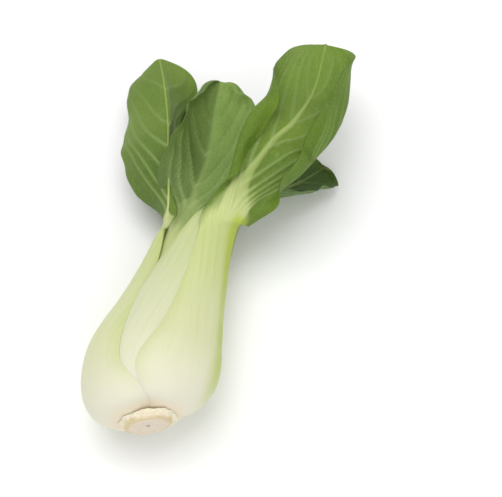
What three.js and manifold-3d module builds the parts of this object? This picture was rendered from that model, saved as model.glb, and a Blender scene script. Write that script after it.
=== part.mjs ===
// A head of bok choy lying on its side: thick pale stalks wrapped round a short stem, each one
// opening into a green blade. Millimetres, +Y along the head from the cut stem to the tips, +Z up.
// Every leaf grew as one piece, so every leaf is one solid.

import * as THREE from 'three';
import { mergeVertices } from 'three/addons/utils/BufferGeometryUtils.js';
import Module from 'manifold-3d';

// ---- driving dimensions of the bulb

// Skin of the bulb from the stem to the neck: distance along the head and radius.
const SKIN = [
  [5.4, 7.6], [5.4, 12.6], [6.9, 18.6], [11.8, 23.7], [20.4, 27.6], [32, 28.7],
  [44, 26.6], [57, 23.4], [71, 20.8], [85, 18.7], [99, 17.5], [112, 16.9],
];
const AXIS_SWAY = [5.6, 1.4, -0.6, 1.1, 2, 2.5, 3.6]; // sideways place of the axis...
const SWAY_STEP = 18; // ...at every 18 mm along the head
const AXIS_DROP = 0.04; // fall of the axis per millimetre along the head
const BASE_LEAN = 0.385; // slant of the base plate, fading out over LEAN_REACH
const LEAN_REACH = 60;
const BASE_LIFT = 3; // rise of the axis at the base plate, fading out over LIFT_REACH
const LIFT_REACH = 30;
const REST_HEIGHT = -28.5; // the surface that the head rests on; the belly is flattened on it

// ---- driving dimensions of the leaves

const GAP = 0.3; // clear space between neighbouring pieces
const EDGE = 0.8; // thickness of a stalk's margins
const BLADE = 0.55; // thickness of a blade
const EDGE_THINS_FROM = 0.6; // place on the stalk from where its margins thin to the blade
const NECK_PACKING = 0.55; // how much closer the layers lie at the neck than at the belly
const PACKING_FROM = 0.3; // place on the stalk from where they draw closer
const SINK_POWER = 2.2; // how late the margins sink under the neighbours
const FOOT_SINK = 0.3; // share of that sinking at the stem, growing to all of it by FOOT_REACH
const FOOT_REACH = 0.13;
const FREE_FROM = 0.72; // place on the stalk where it starts to leave the bulb
const FREE_SECOND = 0.86; // second place that steers the free part
const BLADE_SHAPE = [0, 0.58, 0.9, 1, 0.98, 0.93, 0.88]; // widening from the neck to the tip
const TIP_POWER = 9; // squareness of a blade's tip
const LOBES_FROM = 0.45; // where the halves start to reach ahead of the midrib
const LAST_ROW = 0.992; // where the blade is closed, as a part of its length
const OPEN_BY = 0.3; // part of the blade over which it opens from the stalk's curve
const RIB_HALF = 0.9; // half width of the midrib near the tip
const RIB_TAPER = 2.2; // how fast the midrib narrows above the neck
const RIB_THINNING = 1.6; // how fast the midrib gets thinner above the neck
const RIB_PROUD = 0.65; // share of the midrib that stands out on the outer face...
const PROUD_BY = 0.35; // ...from this part of the blade on
const RIB_RISE = 0.35; // extra thickness of the midrib where it leaves the stalk
const FOLD_REACH = 2.5; // width over which the fold at the midrib turns
const ROLL_FROM = 0.6; // a roll lies between these parts of the half width, unless a leaf says else
const ROLL_TO = 1;
const COLUMN_CROWDING = 1.445; // how closely the columns crowd at the margins

const STALK_STEPS = 9;
const BLADE_STEPS = 12;
const PATH_STEPS = 24; // fine steps across half a blade

// Angles are in degrees. margins: the angles of a stalk's left and right edge round the axis, from
// the stem to the neck (0 is up, + is to +X). depth: how far it lies below the skin; sink: how
// much deeper its left and right margins go. thick: its thickness from the stem to the neck.
// spine: the blade's midrib. facing: the way the outer face looks. width: half widths, left and
// right. fold, cup, roll: how far each half turns at the midrib, evenly, and near the margin
// (from and to, as parts of the half width). lobes: how far the tip's halves reach ahead of the
// midrib. steps: columns across half the leaf.
const OUTER_STALK = [4.5, 6.6, 6, 4.8, 3.8];
const SECOND_STALK = [3.5, 5, 4.8, 4, 3];
const INNER_STALK = [3, 3.6, 3.5, 3, 2.4];
const HEART_STALK = [1.6, 2, 2, 1.8, 1.4];
const CUPPED = { cup: 60 };
const LEAVES = {
  left_leaf: {
    margins: [
      [-153, -152, -150, -145, -138, -133, -128, -120, -112],
      [6, 5, -3, -23, -27.5, -33, -42, -55, -62],
    ],
    depth: 0, sink: [1, [2.6, 2.6, 2.6, 5.5, 6.5]], thick: OUTER_STALK, width: [27, 27],
    tip: 18, lobes: [2.5, 1], steps: 7, colour: '#7da356',
    spine: [
      [-12.5, 102, 1], [-14.5, 116, 4.5], [-19.5, 135, 6], [-25, 155, 4], [-33, 178, 0], [-39, 193, -5],
    ],
    facing: [[-8, -2, 5], [-3, -3, 8], [-1, -3, 9], [-1, -2, 10], [0, 0, 1], [0, 2, 10]],
    left: { shape: [0, 0.58, 0.9, 1, 0.93, 0.76, 0.5], fold: [12, -5, 8, 18], cup: 40, roll: 6 },
    right: { shape: [0, -0.3, -0.1, 0.3, 0.7, 0.9, 0.88], fold: [60, 90, 80, 20], cup: 12, roll: -3 },
  },
  right_leaf: {
    margins: [[5, 0, -7, -11, 5, 8, 10, 10, 0], [124, 124, 124, 118, 110, 102, 98, 90, 84]],
    depth: 0, sink: [2.8, 2], thick: OUTER_STALK, width: [26, 32], tip: 8, steps: 7, colour: '#84ab55',
    spine: [
      [17, 100.5, 13], [19.5, 117, 16.5], [29.5, 139.5, 21.5], [36.5, 151.5, 22], [41, 174, 16],
      [41, 209, 8],
    ],
    facing: [[4, -1, 9], [3, -2, 9], [2, -2, 10], [1, 0, 10], [1, 1, 10], [0, 3, 10]],
    left: {
      shape: [0, -0.25, 0.75, 1.05, 1, 0.93, 0.8], fold: -7, cup: -12, roll: [-23, -208, -160, -50, 0],
      from: 0.47, to: 0.85,
    },
    right: {
      shape: [0, 0.36, 0.86, 1, 0.98, 0.88, 0.68], fold: -9, cup: [60, 42, 18, 18],
      roll: [-19, -142, -150, -166, -20], from: 0.5, to: 0.75,
    },
  },
  under_leaf: {
    margins: [[126, 134, 138, 146], [205, 216, 222, 218]],
    depth: 0, sink: [4, 4], thick: OUTER_STALK, width: [19, 19], steps: 6, colour: '#6f9a4a',
    spine: [[-2.5, 104, -20], [0, 122, -25], [-2, 140, -28.2], [-3, 158, -28.7], [-3, 172, -26]],
    facing: [[0, 0, -1], [0, 0, -1], [0, 0, -1], [0, 1, -10], [0, 4, -10]],
    left: { cup: 50 },
    right: { cup: 50 },
  },
  middle_leaf: {
    margins: [[-40, -40, -44, -52, -52, -50, -34, -10, 10], [20, 20, 22, 30, 40, 42, 42, 42, 44]],
    depth: 2.6, sink: [1.2, 1.8], thick: SECOND_STALK, width: [7, 12], steps: 5, colour: '#86ab57',
    spine: [[10.5, 107, 8.5], [17, 121, 8.5], [25, 136, 6], [33, 150, 1], [39, 163, -5]],
    facing: [[4, -1, 9], [3, -2, 9], [3, -1, 10], [2, 0, 10], [1, 3, 10]],
    left: { cup: 110 },
    right: { cup: 30 },
  },
  lower_right_leaf: {
    margins: [[70, 73, 80, 82], [160, 163, 156, 142]],
    depth: 3.2, sink: [4, 4], thick: SECOND_STALK, width: [20, 20], steps: 4, colour: '#5f8a45',
    spine: [[11, 106, -8], [20, 122, -11], [31, 136, -17], [42, 150, -25], [50, 162, -28.3]],
    facing: [[8, 0, -5], [6, -1, -7], [4, 0, -9], [2, 1, -10], [0, 2, -10]],
    left: { cup: 50 },
    right: { cup: 40 },
  },
  lower_left_leaf: {
    margins: [[-170, -173, -168, -165], [-80, -83, -92, -105]],
    depth: 3.2, sink: [4, 4], thick: SECOND_STALK, width: [19, 19], steps: 4, colour: '#5f8a45',
    spine: [[-9, 106, -13], [-12, 124, -21], [-17, 144, -27], [-24, 164, -28.6], [-29, 178, -26]],
    facing: [[-6, 0, -8], [-3, 0, -10], [-1, 0, -10], [0, 1, -10], [0, 2, -10]],
    left: { cup: 40 },
    right: { cup: 40 },
  },
  inner_left_leaf: {
    margins: [[-97, -98, -90, -70], [-13, -14, -6, 4]],
    depth: [8.8, 8.8, 7.5, 4.6], sink: [1.4, 1.4], thick: INNER_STALK, width: [24, 31], tip: 4,
    steps: 6, colour: '#8fb463',
    spine: [[-3, 106, 6.5], [-2, 120, 3.5], [-1.5, 137, 0], [-3, 154, -2], [-4.5, 168, -1], [-5, 180, 3]],
    facing: [[-3, -1, 9], [-1, -1, 10], [0, 0, 1], [0, -1, 10], [0, -3, 10], [0, -5, 10]],
    left: { fold: [-20, -40, -42, -36], cup: -22, roll: [0, 0, -60, -130], from: 0.6, to: 0.95 },
    right: { fold: [-15, -34, -34, -26], cup: [-20, -20, -30, -40] },
  },
  inner_right_leaf: {
    margins: [[16, 18, 22, 28], [100, 102, 98, 92]],
    depth: 8.8, sink: [1.4, 1.4], thick: INNER_STALK, width: [13, 13], steps: 4, colour: '#8fb463',
    spine: [[5, 104, -2], [9, 118, -2], [14, 132, -3], [19, 146, -6], [24, 158, -10]],
    facing: [[7, 0, 6], [6, 0, 7], [4, 0, 9], [2, 1, 10], [0, 3, 10]],
    left: CUPPED,
    right: CUPPED,
  },
  inner_under_leaf: {
    margins: [[134, 136, 140, 146], [218, 220, 216, 210]],
    depth: 8.8, sink: [1.4, 1.4], thick: INNER_STALK, width: [13, 13], steps: 4, colour: '#8fb463',
    spine: [[0, 103, -12], [2, 117, -14], [5, 131, -15], [8, 144, -14], [11, 156, -11]],
    facing: [[0, 0, -1], [0, 0, -1], [0, 0, -1], [0, 1, -10], [0, 3, -10]],
    left: CUPPED,
    right: CUPPED,
  },
  heart_left_leaf: {
    margins: [[-166, -166, -162, -159], [-74, -78, -82, -91]],
    depth: 13.6, sink: [0.8, 0.8], thick: HEART_STALK, width: [8, 8], steps: 3, colour: '#a9c67c',
    spine: [[0, 102, -7], [0, 112, -8.5], [0, 122, -10], [0, 131, -11]],
    facing: [[-9, 0, -3], [-8, 0, -2], [-8, 0, 0], [-8, 0, 1]],
    left: CUPPED,
    right: CUPPED,
  },
  heart_right_leaf: {
    margins: [[74, 76, 78, 81], [166, 164, 158, 149]],
    depth: 13.6, sink: [0.8, 0.8], thick: HEART_STALK, width: [8, 8], steps: 3, colour: '#a9c67c',
    spine: [[7, 102, -7], [8, 111, -8], [10, 120, -9], [12, 128, -10]],
    facing: [[9, 0, -3], [8, 0, -2], [8, 0, 0], [8, 0, 1]],
    left: CUPPED,
    right: CUPPED,
  },
  heart_top_leaf: {
    margins: [[-46, -44, -40, -34], [46, 44, 40, 34]],
    depth: 13.6, sink: [0.8, 0.8], thick: HEART_STALK, width: [8, 8], steps: 3, colour: '#a9c67c',
    spine: [[3, 101, 1], [4, 110, 0], [5, 119, -2], [6, 127, -4]],
    facing: [[0, 0, 1], [0, 0, 1], [0, 0, 1], [0, 1, 10]],
    left: CUPPED,
    right: CUPPED,
  },
};

// Stem base: radius and distance along the head, from the cut face over the collar of leaf scars
// to the growing point inside.
const STEM_OUTLINE = [
  [0, 2], [7.9, 2], [8.5, 2.2], [9.4, 2.9], [10.6, 4], [11.7, 5.1], [10.4, 5.5], [7.1, 5.6],
  [6.9, 12], [6.2, 22], [4.2, 27], [0, 29],
];
const STEM_SIDES = 32;
const STEM_COLOUR = '#d8c7b0';

// ---- curves

const radians = THREE.MathUtils.degToRad;
const smooth = (x, from, to) => THREE.MathUtils.smoothstep(x, from, to);
const NUDGE = 5e-4; // half the step that finds a curve's direction
const curve = (points) => new THREE.CatmullRomCurve3(
  points.map((point) => new THREE.Vector3(...point)), false, 'catmullrom', 0.5,
);

/** A value that runs smoothly through a list of numbers as its place goes from 0 to 1. */
function table(values) {
  if (typeof values === 'number') return () => values;
  const through = curve(values.map((value) => [value, 0, 0]));
  return (place) => through.getPoint(THREE.MathUtils.clamp(place, 0, 1)).x;
}

const skin = curve(SKIN.map(([along, radius]) => [along, radius, 0]));
const sway = table(AXIS_SWAY);

/** The head's own place for a distance along it, a radius and an angle round its axis. */
function place(along, radius, angle) {
  const side = radius * Math.sin(angle);
  const lean = BASE_LEAN * side * (1 - smooth(along, 0, LEAN_REACH));
  const reach = SWAY_STEP * (AXIS_SWAY.length - 1);
  const lift = BASE_LIFT * (1 - smooth(along, 0, LIFT_REACH)) - AXIS_DROP * along;
  return new THREE.Vector3(sway(along / reach) + side, along + lean, radius * Math.cos(angle) + lift);
}

/** The direction of a curve at a place from 0 to 1, from two points close to it. */
function directionOf(line, at01) {
  const before = line.getPoint(Math.max(at01 - NUDGE, 0));
  return line.getPoint(Math.min(at01 + NUDGE, 1)).sub(before).normalize();
}

/** A point in the bulb: q from the stem (0) to the neck (1), an angle, and a depth below the skin. */
function inBulb(q, angle, depth) {
  const at = skin.getPoint(q);
  const step = directionOf(skin, q);
  return place(at.x + depth * step.y, at.y - depth * step.x, angle);
}

/** The way out of the bulb at a place on its skin. */
function outOfBulb(q, angle) {
  const step = directionOf(skin, q);
  return new THREE.Vector3(step.x * Math.sin(angle), -step.y, step.x * Math.cos(angle));
}

// ---- leaves

/** Layers lie closer together at the neck. */
const packing = (q) => 1 - (1 - NECK_PACKING) * smooth(q, PACKING_FROM, 1);

/** The middle angle of a stalk and half its width as an angle, from its two margins. */
function centreAndHalf(leaf, q) {
  const [left, right] = leaf.margins.map((margin) => radians(table(margin)(q)));
  return { centre: (left + right) / 2, half: (right - left) / 2 };
}

/** The free part of a leaf: a spine that starts in the stalk and the way its outer face looks. */
function freeSpine(leaf) {
  const starts = [FREE_FROM, FREE_SECOND];
  const depth = table(leaf.depth);
  const roots = starts.map((q) => inBulb(q, centreAndHalf(leaf, q).centre, depth(q) * packing(q)).toArray());
  const ways = starts.map((q) => outOfBulb(q, centreAndHalf(leaf, q).centre).toArray());
  const facing = leaf.facing.map((way) => new THREE.Vector3(...way).normalize().toArray());
  const spine = curve([...roots, ...leaf.spine]);
  const face = curve([...ways, ...facing]);
  return (q, a) => {
    const spans = leaf.spine.length + 1;
    const s = a > 0 ? 2 + a * (leaf.spine.length - 1) : (q - FREE_FROM) / (FREE_SECOND - FREE_FROM);
    const u = THREE.MathUtils.clamp(s / spans, 0, 1);
    const along = directionOf(spine, u);
    const out = face.getPoint(u);
    out.addScaledVector(along, -out.dot(along)).normalize();
    return { point: spine.getPoint(u), out, across: new THREE.Vector3().crossVectors(along, out) };
  };
}

/** Places across half a free section: steps sideways and inwards, and the angle of the face. */
function sectionPath(half, halfAngle, a, side) {
  const opened = smooth(a, 0, OPEN_BY);
  const fold = radians(table(side.fold ?? 0)(a)) * opened;
  const cup = halfAngle * (1 - opened) + radians(table(side.cup)(a)) * opened;
  const roll = radians(table(side.roll ?? 0)(a)) * opened;
  const turn = (v) => fold * smooth(v * half, 0, FOLD_REACH) + cup * v
    + roll * smooth(v, side.from ?? ROLL_FROM, side.to ?? ROLL_TO);
  const path = [{ x: 0, y: 0, turn: 0 }];
  for (let i = 1; i <= PATH_STEPS; i += 1) {
    const angle = turn((i - 0.5) / PATH_STEPS);
    const last = path[i - 1];
    const step = half / PATH_STEPS;
    path.push({
      x: last.x + step * Math.cos(angle), y: last.y + step * Math.sin(angle), turn: turn(i / PATH_STEPS),
    });
  }
  return path;
}

/** Outer and inner points across a leaf at one place: q along the stalk, then a along the blade. */
function leafRow(leaf, free, q, a, grow) {
  const { centre, half: halfAngle } = centreAndHalf(leaf, q);
  const neck = halfAngle * skin.getPoint(q).y;
  const tip = Math.sqrt(Math.max(1 - a ** leaf.tip, 0));
  const rib = a > 0
    ? (leaf.thick.at(-1) - BLADE) * (1 - a) ** RIB_THINNING + BLADE + RIB_RISE * (1 - a ** 4) * a ** 0.3
    : table(leaf.thick)(q);
  const edge = a > 0 ? BLADE : EDGE + (BLADE - EDGE) * smooth(q, EDGE_THINS_FROM, 1);
  const blend = a > 0 ? 1 : smooth(q, FREE_FROM, 1);
  const footSink = FOOT_SINK + (1 - FOOT_SINK) * smooth(q, 0, FOOT_REACH);
  const { point, out, across } = free(q, a);
  const outer = [];
  const inner = [];
  for (let column = -leaf.steps; column <= leaf.steps; column += 1) {
    const right = column >= 0;
    const part = right ? leaf.right : leaf.left;
    const v = Math.abs(Math.sin((column / leaf.steps) * COLUMN_CROWDING)) / Math.sin(COLUMN_CROWDING);
    const sign = right ? 1 : -1;
    const wide = leaf.width[right ? 1 : 0];
    const widening = table(part.shape ?? BLADE_SHAPE)(a);
    const half = a > 0 ? (neck + (wide - neck) * widening) * tip : neck;
    const ribHalf = a > 0 ? neck * (1 - a) ** RIB_TAPER + RIB_HALF * (1 - a / 2) : half;
    const hump = Math.max(1 - ((v * half) / ribHalf) ** 2, 0);
    const thick = edge + (rib - edge) * hump;
    const sink = table(leaf.sink[right ? 1 : 0])(q) * v ** SINK_POWER * footSink;
    const depth = (table(leaf.depth)(q) + sink) * packing(q) - grow;
    const wrapped = centre + sign * v * (halfAngle + grow / skin.getPoint(q).y);
    const wrappedOuter = inBulb(q, wrapped, depth);
    const wrappedInner = inBulb(q, wrapped, depth + thick + 2 * grow);
    const path = sectionPath(half + grow, halfAngle, a, part);
    const step = path[Math.round(v * PATH_STEPS)];
    const normal = out.clone().multiplyScalar(Math.cos(step.turn))
      .addScaledVector(across, sign * Math.sin(step.turn));
    const proud = RIB_PROUD * smooth(a, 0, PROUD_BY) * (rib - edge) * hump + grow;
    const ahead = leaf.lobes[right ? 1 : 0] * v ** 2 * smooth(a, LOBES_FROM, 1);
    const middle = point.clone().addScaledVector(across, sign * step.x).addScaledVector(out, -step.y)
      .addScaledVector(out.clone().cross(across), ahead);
    const freeOuter = middle.clone().addScaledVector(normal, proud);
    const freeInner = middle.addScaledVector(normal, proud - thick - 2 * grow);
    outer.push(wrappedOuter.lerp(freeOuter, blend));
    inner.push(wrappedInner.lerp(freeInner, blend));
  }
  return [...outer, ...inner.reverse()];
}

/** Closed surface through rows of points that each go once round a section. */
function skinRows(rows) {
  const round = rows[0].length;
  const positions = rows.flat().flatMap((point) => point.toArray());
  const index = [];
  const quad = (a, b, c, d) => index.push(a, b, c, a, c, d);
  for (let row = 0; row < rows.length - 1; row += 1) {
    for (let i = 0; i < round; i += 1) {
      const next = (i + 1) % round;
      quad(row * round + i, row * round + next, (row + 1) * round + next, (row + 1) * round + i);
    }
  }
  const top = (rows.length - 1) * round;
  for (let i = 0; i < round / 2 - 1; i += 1) {
    quad(round - 1 - i, round - 2 - i, i + 1, i);
    quad(top + i, top + i + 1, top + round - 2 - i, top + round - 1 - i);
  }
  const geometry = new THREE.BufferGeometry();
  geometry.setAttribute('position', new THREE.Float32BufferAttribute(positions, 3));
  geometry.setIndex(index);
  return geometry;
}

/** One leaf, from its foot on the stem to its tip, made larger all round by grow. */
function leafGeometry(leaf, grow) {
  const whole = { tip: TIP_POWER, lobes: [0, 0], ...leaf };
  const free = freeSpine(whole);
  const rows = [];
  for (let i = 0; i <= STALK_STEPS; i += 1) rows.push(leafRow(whole, free, i / STALK_STEPS, 0, grow));
  for (let i = 1; i <= BLADE_STEPS; i += 1) {
    const x = i / BLADE_STEPS;
    const a = (Math.sin((x * Math.PI) / 2) + x) / 2;
    rows.push(leafRow(whole, free, 1, Math.min(a, LAST_ROW), grow));
  }
  return skinRows(rows);
}

/** The stem base turns round the same leaning axis as the leaves. */
function stemGeometry(grow) {
  const rows = [];
  const outline = STEM_OUTLINE.slice(1, -1).map(([radius, along]) => [radius + grow, along]);
  const first = STEM_OUTLINE[0];
  const last = STEM_OUTLINE.at(-1);
  const profile = [first, ...outline, last].map(([radius, along]) => new THREE.Vector2(radius, along));
  const lathe = new THREE.LatheGeometry(profile, STEM_SIDES);
  lathe.deleteAttribute('normal');
  lathe.deleteAttribute('uv');
  const geometry = mergeVertices(lathe);
  const position = geometry.getAttribute('position');
  for (let i = 0; i < position.count; i += 1) {
    const radius = Math.hypot(position.getX(i), position.getZ(i));
    const angle = Math.atan2(position.getX(i), position.getZ(i));
    rows.push(place(position.getY(i), radius, angle));
  }
  rows.forEach((point, i) => position.setXYZ(i, point.x, point.y, point.z));
  return geometry;
}

// ---- solids

const wasm = await Module();
wasm.setup();

function solid(geometry) {
  return new wasm.Manifold(new wasm.Mesh({
    numProp: 3,
    vertProperties: Float32Array.from(geometry.getAttribute('position').array),
    triVerts: Uint32Array.from(geometry.getIndex().array),
  }));
}

/** The biggest piece of a body that has been cut. */
function largest(body) {
  const pieces = body.decompose();
  return pieces.reduce((best, piece) => (piece.volume() > best.volume() ? piece : best));
}

/** What lies under the head: a slab with its top on the surface that the head rests on. */
function surface() {
  const geometry = new THREE.BoxGeometry(400, 600, 40);
  geometry.translate(0, 100, REST_HEIGHT - 20);
  geometry.deleteAttribute('normal');
  geometry.deleteAttribute('uv');
  return solid(mergeVertices(geometry));
}

function geometryOf(body) {
  const { vertProperties, triVerts } = body.getMesh();
  const geometry = new THREE.BufferGeometry();
  geometry.setAttribute('position', new THREE.BufferAttribute(vertProperties, 3));
  geometry.setIndex(new THREE.BufferAttribute(triVerts, 1));
  geometry.computeVertexNormals();
  return geometry;
}

function addPiece(group, name, body, colour) {
  const material = new THREE.MeshStandardMaterial({ color: colour, roughness: 0.45, metalness: 0 });
  const mesh = new THREE.Mesh(geometryOf(body), material);
  mesh.name = name;
  group.add(mesh);
}

// Each piece gives way to the ones before it, from the stem and the outer leaves inwards.
const head = new THREE.Group();
const stem = solid(stemGeometry(0));
addPiece(head, 'stem_base', stem, STEM_COLOUR);
const taken = [surface(), solid(stemGeometry(GAP))];
for (const [name, leaf] of Object.entries(LEAVES)) {
  let body = solid(leafGeometry(leaf, 0));
  for (const other of taken) body = body.subtract(other);
  addPiece(head, name, largest(body), leaf.colour);
  taken.push(solid(leafGeometry(leaf, GAP)));
}

// The origin is under the middle of the head, on the surface that it rests on.
const box = new THREE.Box3().setFromObject(head);
const middle = box.getCenter(new THREE.Vector3());
head.position.set(-middle.x, -middle.y, -box.min.z);

const boxed = new THREE.Group();
boxed.add(head);
export default boxed;
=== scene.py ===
# %% [markdown]
# # A head of bok choy, leaf by leaf
#
# A head of bok choy is a short stem with leaves packed round it. Each leaf is one thing from
# foot to tip: a thick pale stalk that is curved like a spoon and wraps the younger ones, and a
# thin green blade that opens above the neck. This lesson grows each leaf as a single closed
# surface, because that is how the plant makes it, and because a seam between stalk and blade
# would show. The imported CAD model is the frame: it says where the head lies and how big it is.

# %% Load the frame
import bpy
import numpy as np
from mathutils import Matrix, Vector


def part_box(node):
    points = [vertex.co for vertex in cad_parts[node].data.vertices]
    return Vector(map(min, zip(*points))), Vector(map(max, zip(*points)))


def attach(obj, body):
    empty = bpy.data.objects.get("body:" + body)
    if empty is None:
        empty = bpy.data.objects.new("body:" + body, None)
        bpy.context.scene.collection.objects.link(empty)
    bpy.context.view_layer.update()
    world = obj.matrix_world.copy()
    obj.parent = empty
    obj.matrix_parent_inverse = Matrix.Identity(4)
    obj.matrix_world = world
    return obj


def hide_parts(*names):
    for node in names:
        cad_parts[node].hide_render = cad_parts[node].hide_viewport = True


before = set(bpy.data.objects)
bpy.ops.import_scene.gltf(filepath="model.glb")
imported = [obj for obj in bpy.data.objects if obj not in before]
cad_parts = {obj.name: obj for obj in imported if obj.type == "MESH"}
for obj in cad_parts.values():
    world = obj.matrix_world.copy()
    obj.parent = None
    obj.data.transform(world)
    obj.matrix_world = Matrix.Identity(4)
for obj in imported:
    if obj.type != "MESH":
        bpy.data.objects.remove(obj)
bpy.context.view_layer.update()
print("CAD nodes:", sorted(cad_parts))

# %% [markdown]
# ## Curves
#
# Almost every size on a plant changes smoothly along it, so two helpers do most of the work. One
# draws a smooth curve through a few points, and the other eases from nought to one. Both work on
# whole arrays, so a leaf with tens of thousands of points costs no more code than one with ten.

# %% Smooth curves and easing


def through(points, s):
    """The point at s, counted in points, on a uniform Catmull-Rom curve: between two points it is
    the cubic whose slope at each end is half the step between that end's two neighbours. The ends
    are continued straight on."""
    p = np.asarray(points, float)
    p = p[:, None] if p.ndim == 1 else p
    p = np.vstack([2 * p[0] - p[1], p, 2 * p[-1] - p[-2]])
    s = np.clip(np.asarray(s, float), 0, len(p) - 3)
    i = np.minimum(s.astype(int), len(p) - 4)
    f = (s - i)[..., None]
    a, b, c, d = p[i], p[i + 1], p[i + 2], p[i + 3]
    return 0.5 * (2 * b + (c - a) * f + (2 * a - 5 * b + 4 * c - d) * f**2 + (3 * b - a - 3 * c + d) * f**3)


def table(values, place):
    """A value that runs smoothly through a list of numbers while its place goes from 0 to 1."""
    if not hasattr(values, "__len__"):
        return np.full(np.shape(place), float(values))
    return through(values, np.clip(place, 0, 1) * (len(values) - 1))[..., 0]


def smooth(x, start, end):
    """Nought before start, one after end, and three t squared minus two t cubed between them."""
    t = np.clip((x - start) / (end - start), 0, 1)
    return t * t * (3 - 2 * t)


def unit(vectors):
    """The same directions at length one."""
    return vectors / np.maximum(np.linalg.norm(vectors, axis=-1, keepdims=True), 1e-12)


print("halfway through 0, 1, 4:", table([0, 1, 4], 0.5), "eased quarter:", smooth(0.25, 0, 1))

# %% [markdown]
# ## The bulb
#
# The stalks swell low down and close up into a neck, so the outside of the head is a skin that
# could be turned on a lathe if its axis were straight and its base square. The real axis sways and
# the base leans, so a point of the bulb is found in two steps: first its distance along the head,
# its radius and its angle, and then the bent place of those three. Layers below the skin are found
# by going in along the skin's own normal, so every stalk follows the one outside it.

# %% The skin of the bulb and its bent axis
SKIN = [
    (5.4, 7.6), (5.4, 12.6), (6.9, 18.6), (11.8, 23.7), (20.4, 27.6), (32, 28.7),
    (44, 26.6), (57, 23.4), (71, 20.8), (85, 18.7), (99, 17.5), (112, 16.9),
]  # distance along the head and radius, in millimetres
AXIS_SWAY = [5.6, 1.4, -0.6, 1.1, 2, 2.5, 3.6]  # sideways place of the axis...
SWAY_STEP = 18.0  # ...at every 18 mm
AXIS_DROP = 0.04
BASE_LEAN, LEAN_REACH = 0.385, 60.0
BASE_LIFT, LIFT_REACH = 3.0, 30.0


def place(along, radius, angle):
    """The bent place of a point: sideways by the axis's sway, forwards by the lean of the base
    times the point's own sideways offset, and down by the drop of the axis, which is lifted again
    at the base."""
    side = radius * np.sin(angle)
    lean = BASE_LEAN * side * (1 - smooth(along, 0, LEAN_REACH))
    sway = through(AXIS_SWAY, np.asarray(along) / SWAY_STEP)[..., 0]
    lift = BASE_LIFT * (1 - smooth(along, 0, LIFT_REACH)) - AXIS_DROP * along
    return np.stack([sway + side, along + lean, radius * np.cos(angle) + lift], -1)


def skin(q):
    """Distance, radius and outward normal of the skin at q, which is 0 at the stem and 1 at the
    neck. The normal is the step along the curve, turned a quarter."""
    s = np.asarray(q, float) * (len(SKIN) - 1)
    step = unit(through(SKIN, s + 1e-3) - through(SKIN, s - 1e-3))
    return through(SKIN, s), np.stack([-step[..., 1], step[..., 0]], -1)


def in_bulb(q, angle, depth):
    """The place in the bulb at q, at an angle round the axis, and at a depth below the skin."""
    point, normal = skin(q)
    return place(point[..., 0] - depth * normal[..., 0], point[..., 1] - depth * normal[..., 1], angle)


STALK_LENGTH, NECK_RADIUS = SKIN[-1]
widest = max(radius for _, radius in SKIN)
print("bulb across in mm:", 2 * widest)

# %% [markdown]
# The frame's origin is under the middle of the head, and the leaves are easier to shape from the
# middle of the cut stem. The stem base is the one piece that both know, so the step between the
# two is found by making the stem's outline here and asking where the frame keeps that node.

# %% From the stem's own place to the frame
STEM_OUTLINE = [
    (0, 2), (7.9, 2), (8.5, 2.2), (9.4, 2.9), (10.6, 4), (11.7, 5.1), (10.4, 5.5), (7.1, 5.6),
    (6.9, 12), (6.2, 22), (4.2, 27), (0, 29),
]  # radius and distance along the head, in millimetres
MM = 0.001
turn = np.linspace(0, 2 * np.pi, 33)
outline = np.array(STEM_OUTLINE, float)
stem_hull = place(outline[:, 1][:, None], outline[:, 0][:, None], turn)
ORIGIN = np.array(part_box("stem_base")[0]) - stem_hull.reshape(-1, 3).min(0) * MM


def to_frame(points):
    """Millimetres from the cut stem turned into metres in the frame, pressed flat at the floor."""
    moved = np.asarray(points, float) * MM + ORIGIN
    moved[..., 2] = np.maximum(moved[..., 2], 0)
    return moved


print("middle of the cut stem in the frame:", ORIGIN.round(4))

# %% [markdown]
# ## The camera
#
# The head lies on a table and is looked down on from above its stem end. A long lens keeps the
# stalks from looking fatter than they are.

# %% Camera above the stem end
CAMERA_TURN = np.radians(12)  # round from the stem end, towards the head's right
CAMERA_RISE = np.radians(60)
CAMERA_AIM = (31.3, 79.5, 25.9)  # millimetres from the cut stem
CAMERA_DISTANCE = 497
camera = bpy.data.objects.new("camera", bpy.data.cameras.new("camera"))
bpy.context.scene.collection.objects.link(camera)
camera.data.lens = 85
camera.data.sensor_width = 36
backwards = Vector((
    np.sin(CAMERA_TURN) * np.cos(CAMERA_RISE), -np.cos(CAMERA_TURN) * np.cos(CAMERA_RISE),
    np.sin(CAMERA_RISE),
))
camera.location = Vector(np.array(CAMERA_AIM) * MM + ORIGIN) + backwards * CAMERA_DISTANCE * MM
camera.rotation_euler = (-backwards).to_track_quat("-Z", "Y").to_euler()
bpy.context.scene.camera = camera
print("camera at", [round(x, 3) for x in camera.location])

# %% [markdown]
# ## How a leaf is shaped
#
# Down in the bulb a leaf is a piece of shell: it has a place round the axis, a width as an angle,
# a depth below the skin and a thickness that thins to the margins. Above the neck it is free, and
# there it is easier to say where its midrib runs and which way its outer face looks. Across the
# blade the section starts flat at the midrib and turns as it goes out: a fold right at the midrib,
# an even cupping, and a roll near the margin. Adding up short steps along that turning direction
# gives the section, and it can never stretch the blade. Over the last stretch of the stalk the two
# descriptions are blended.

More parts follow.
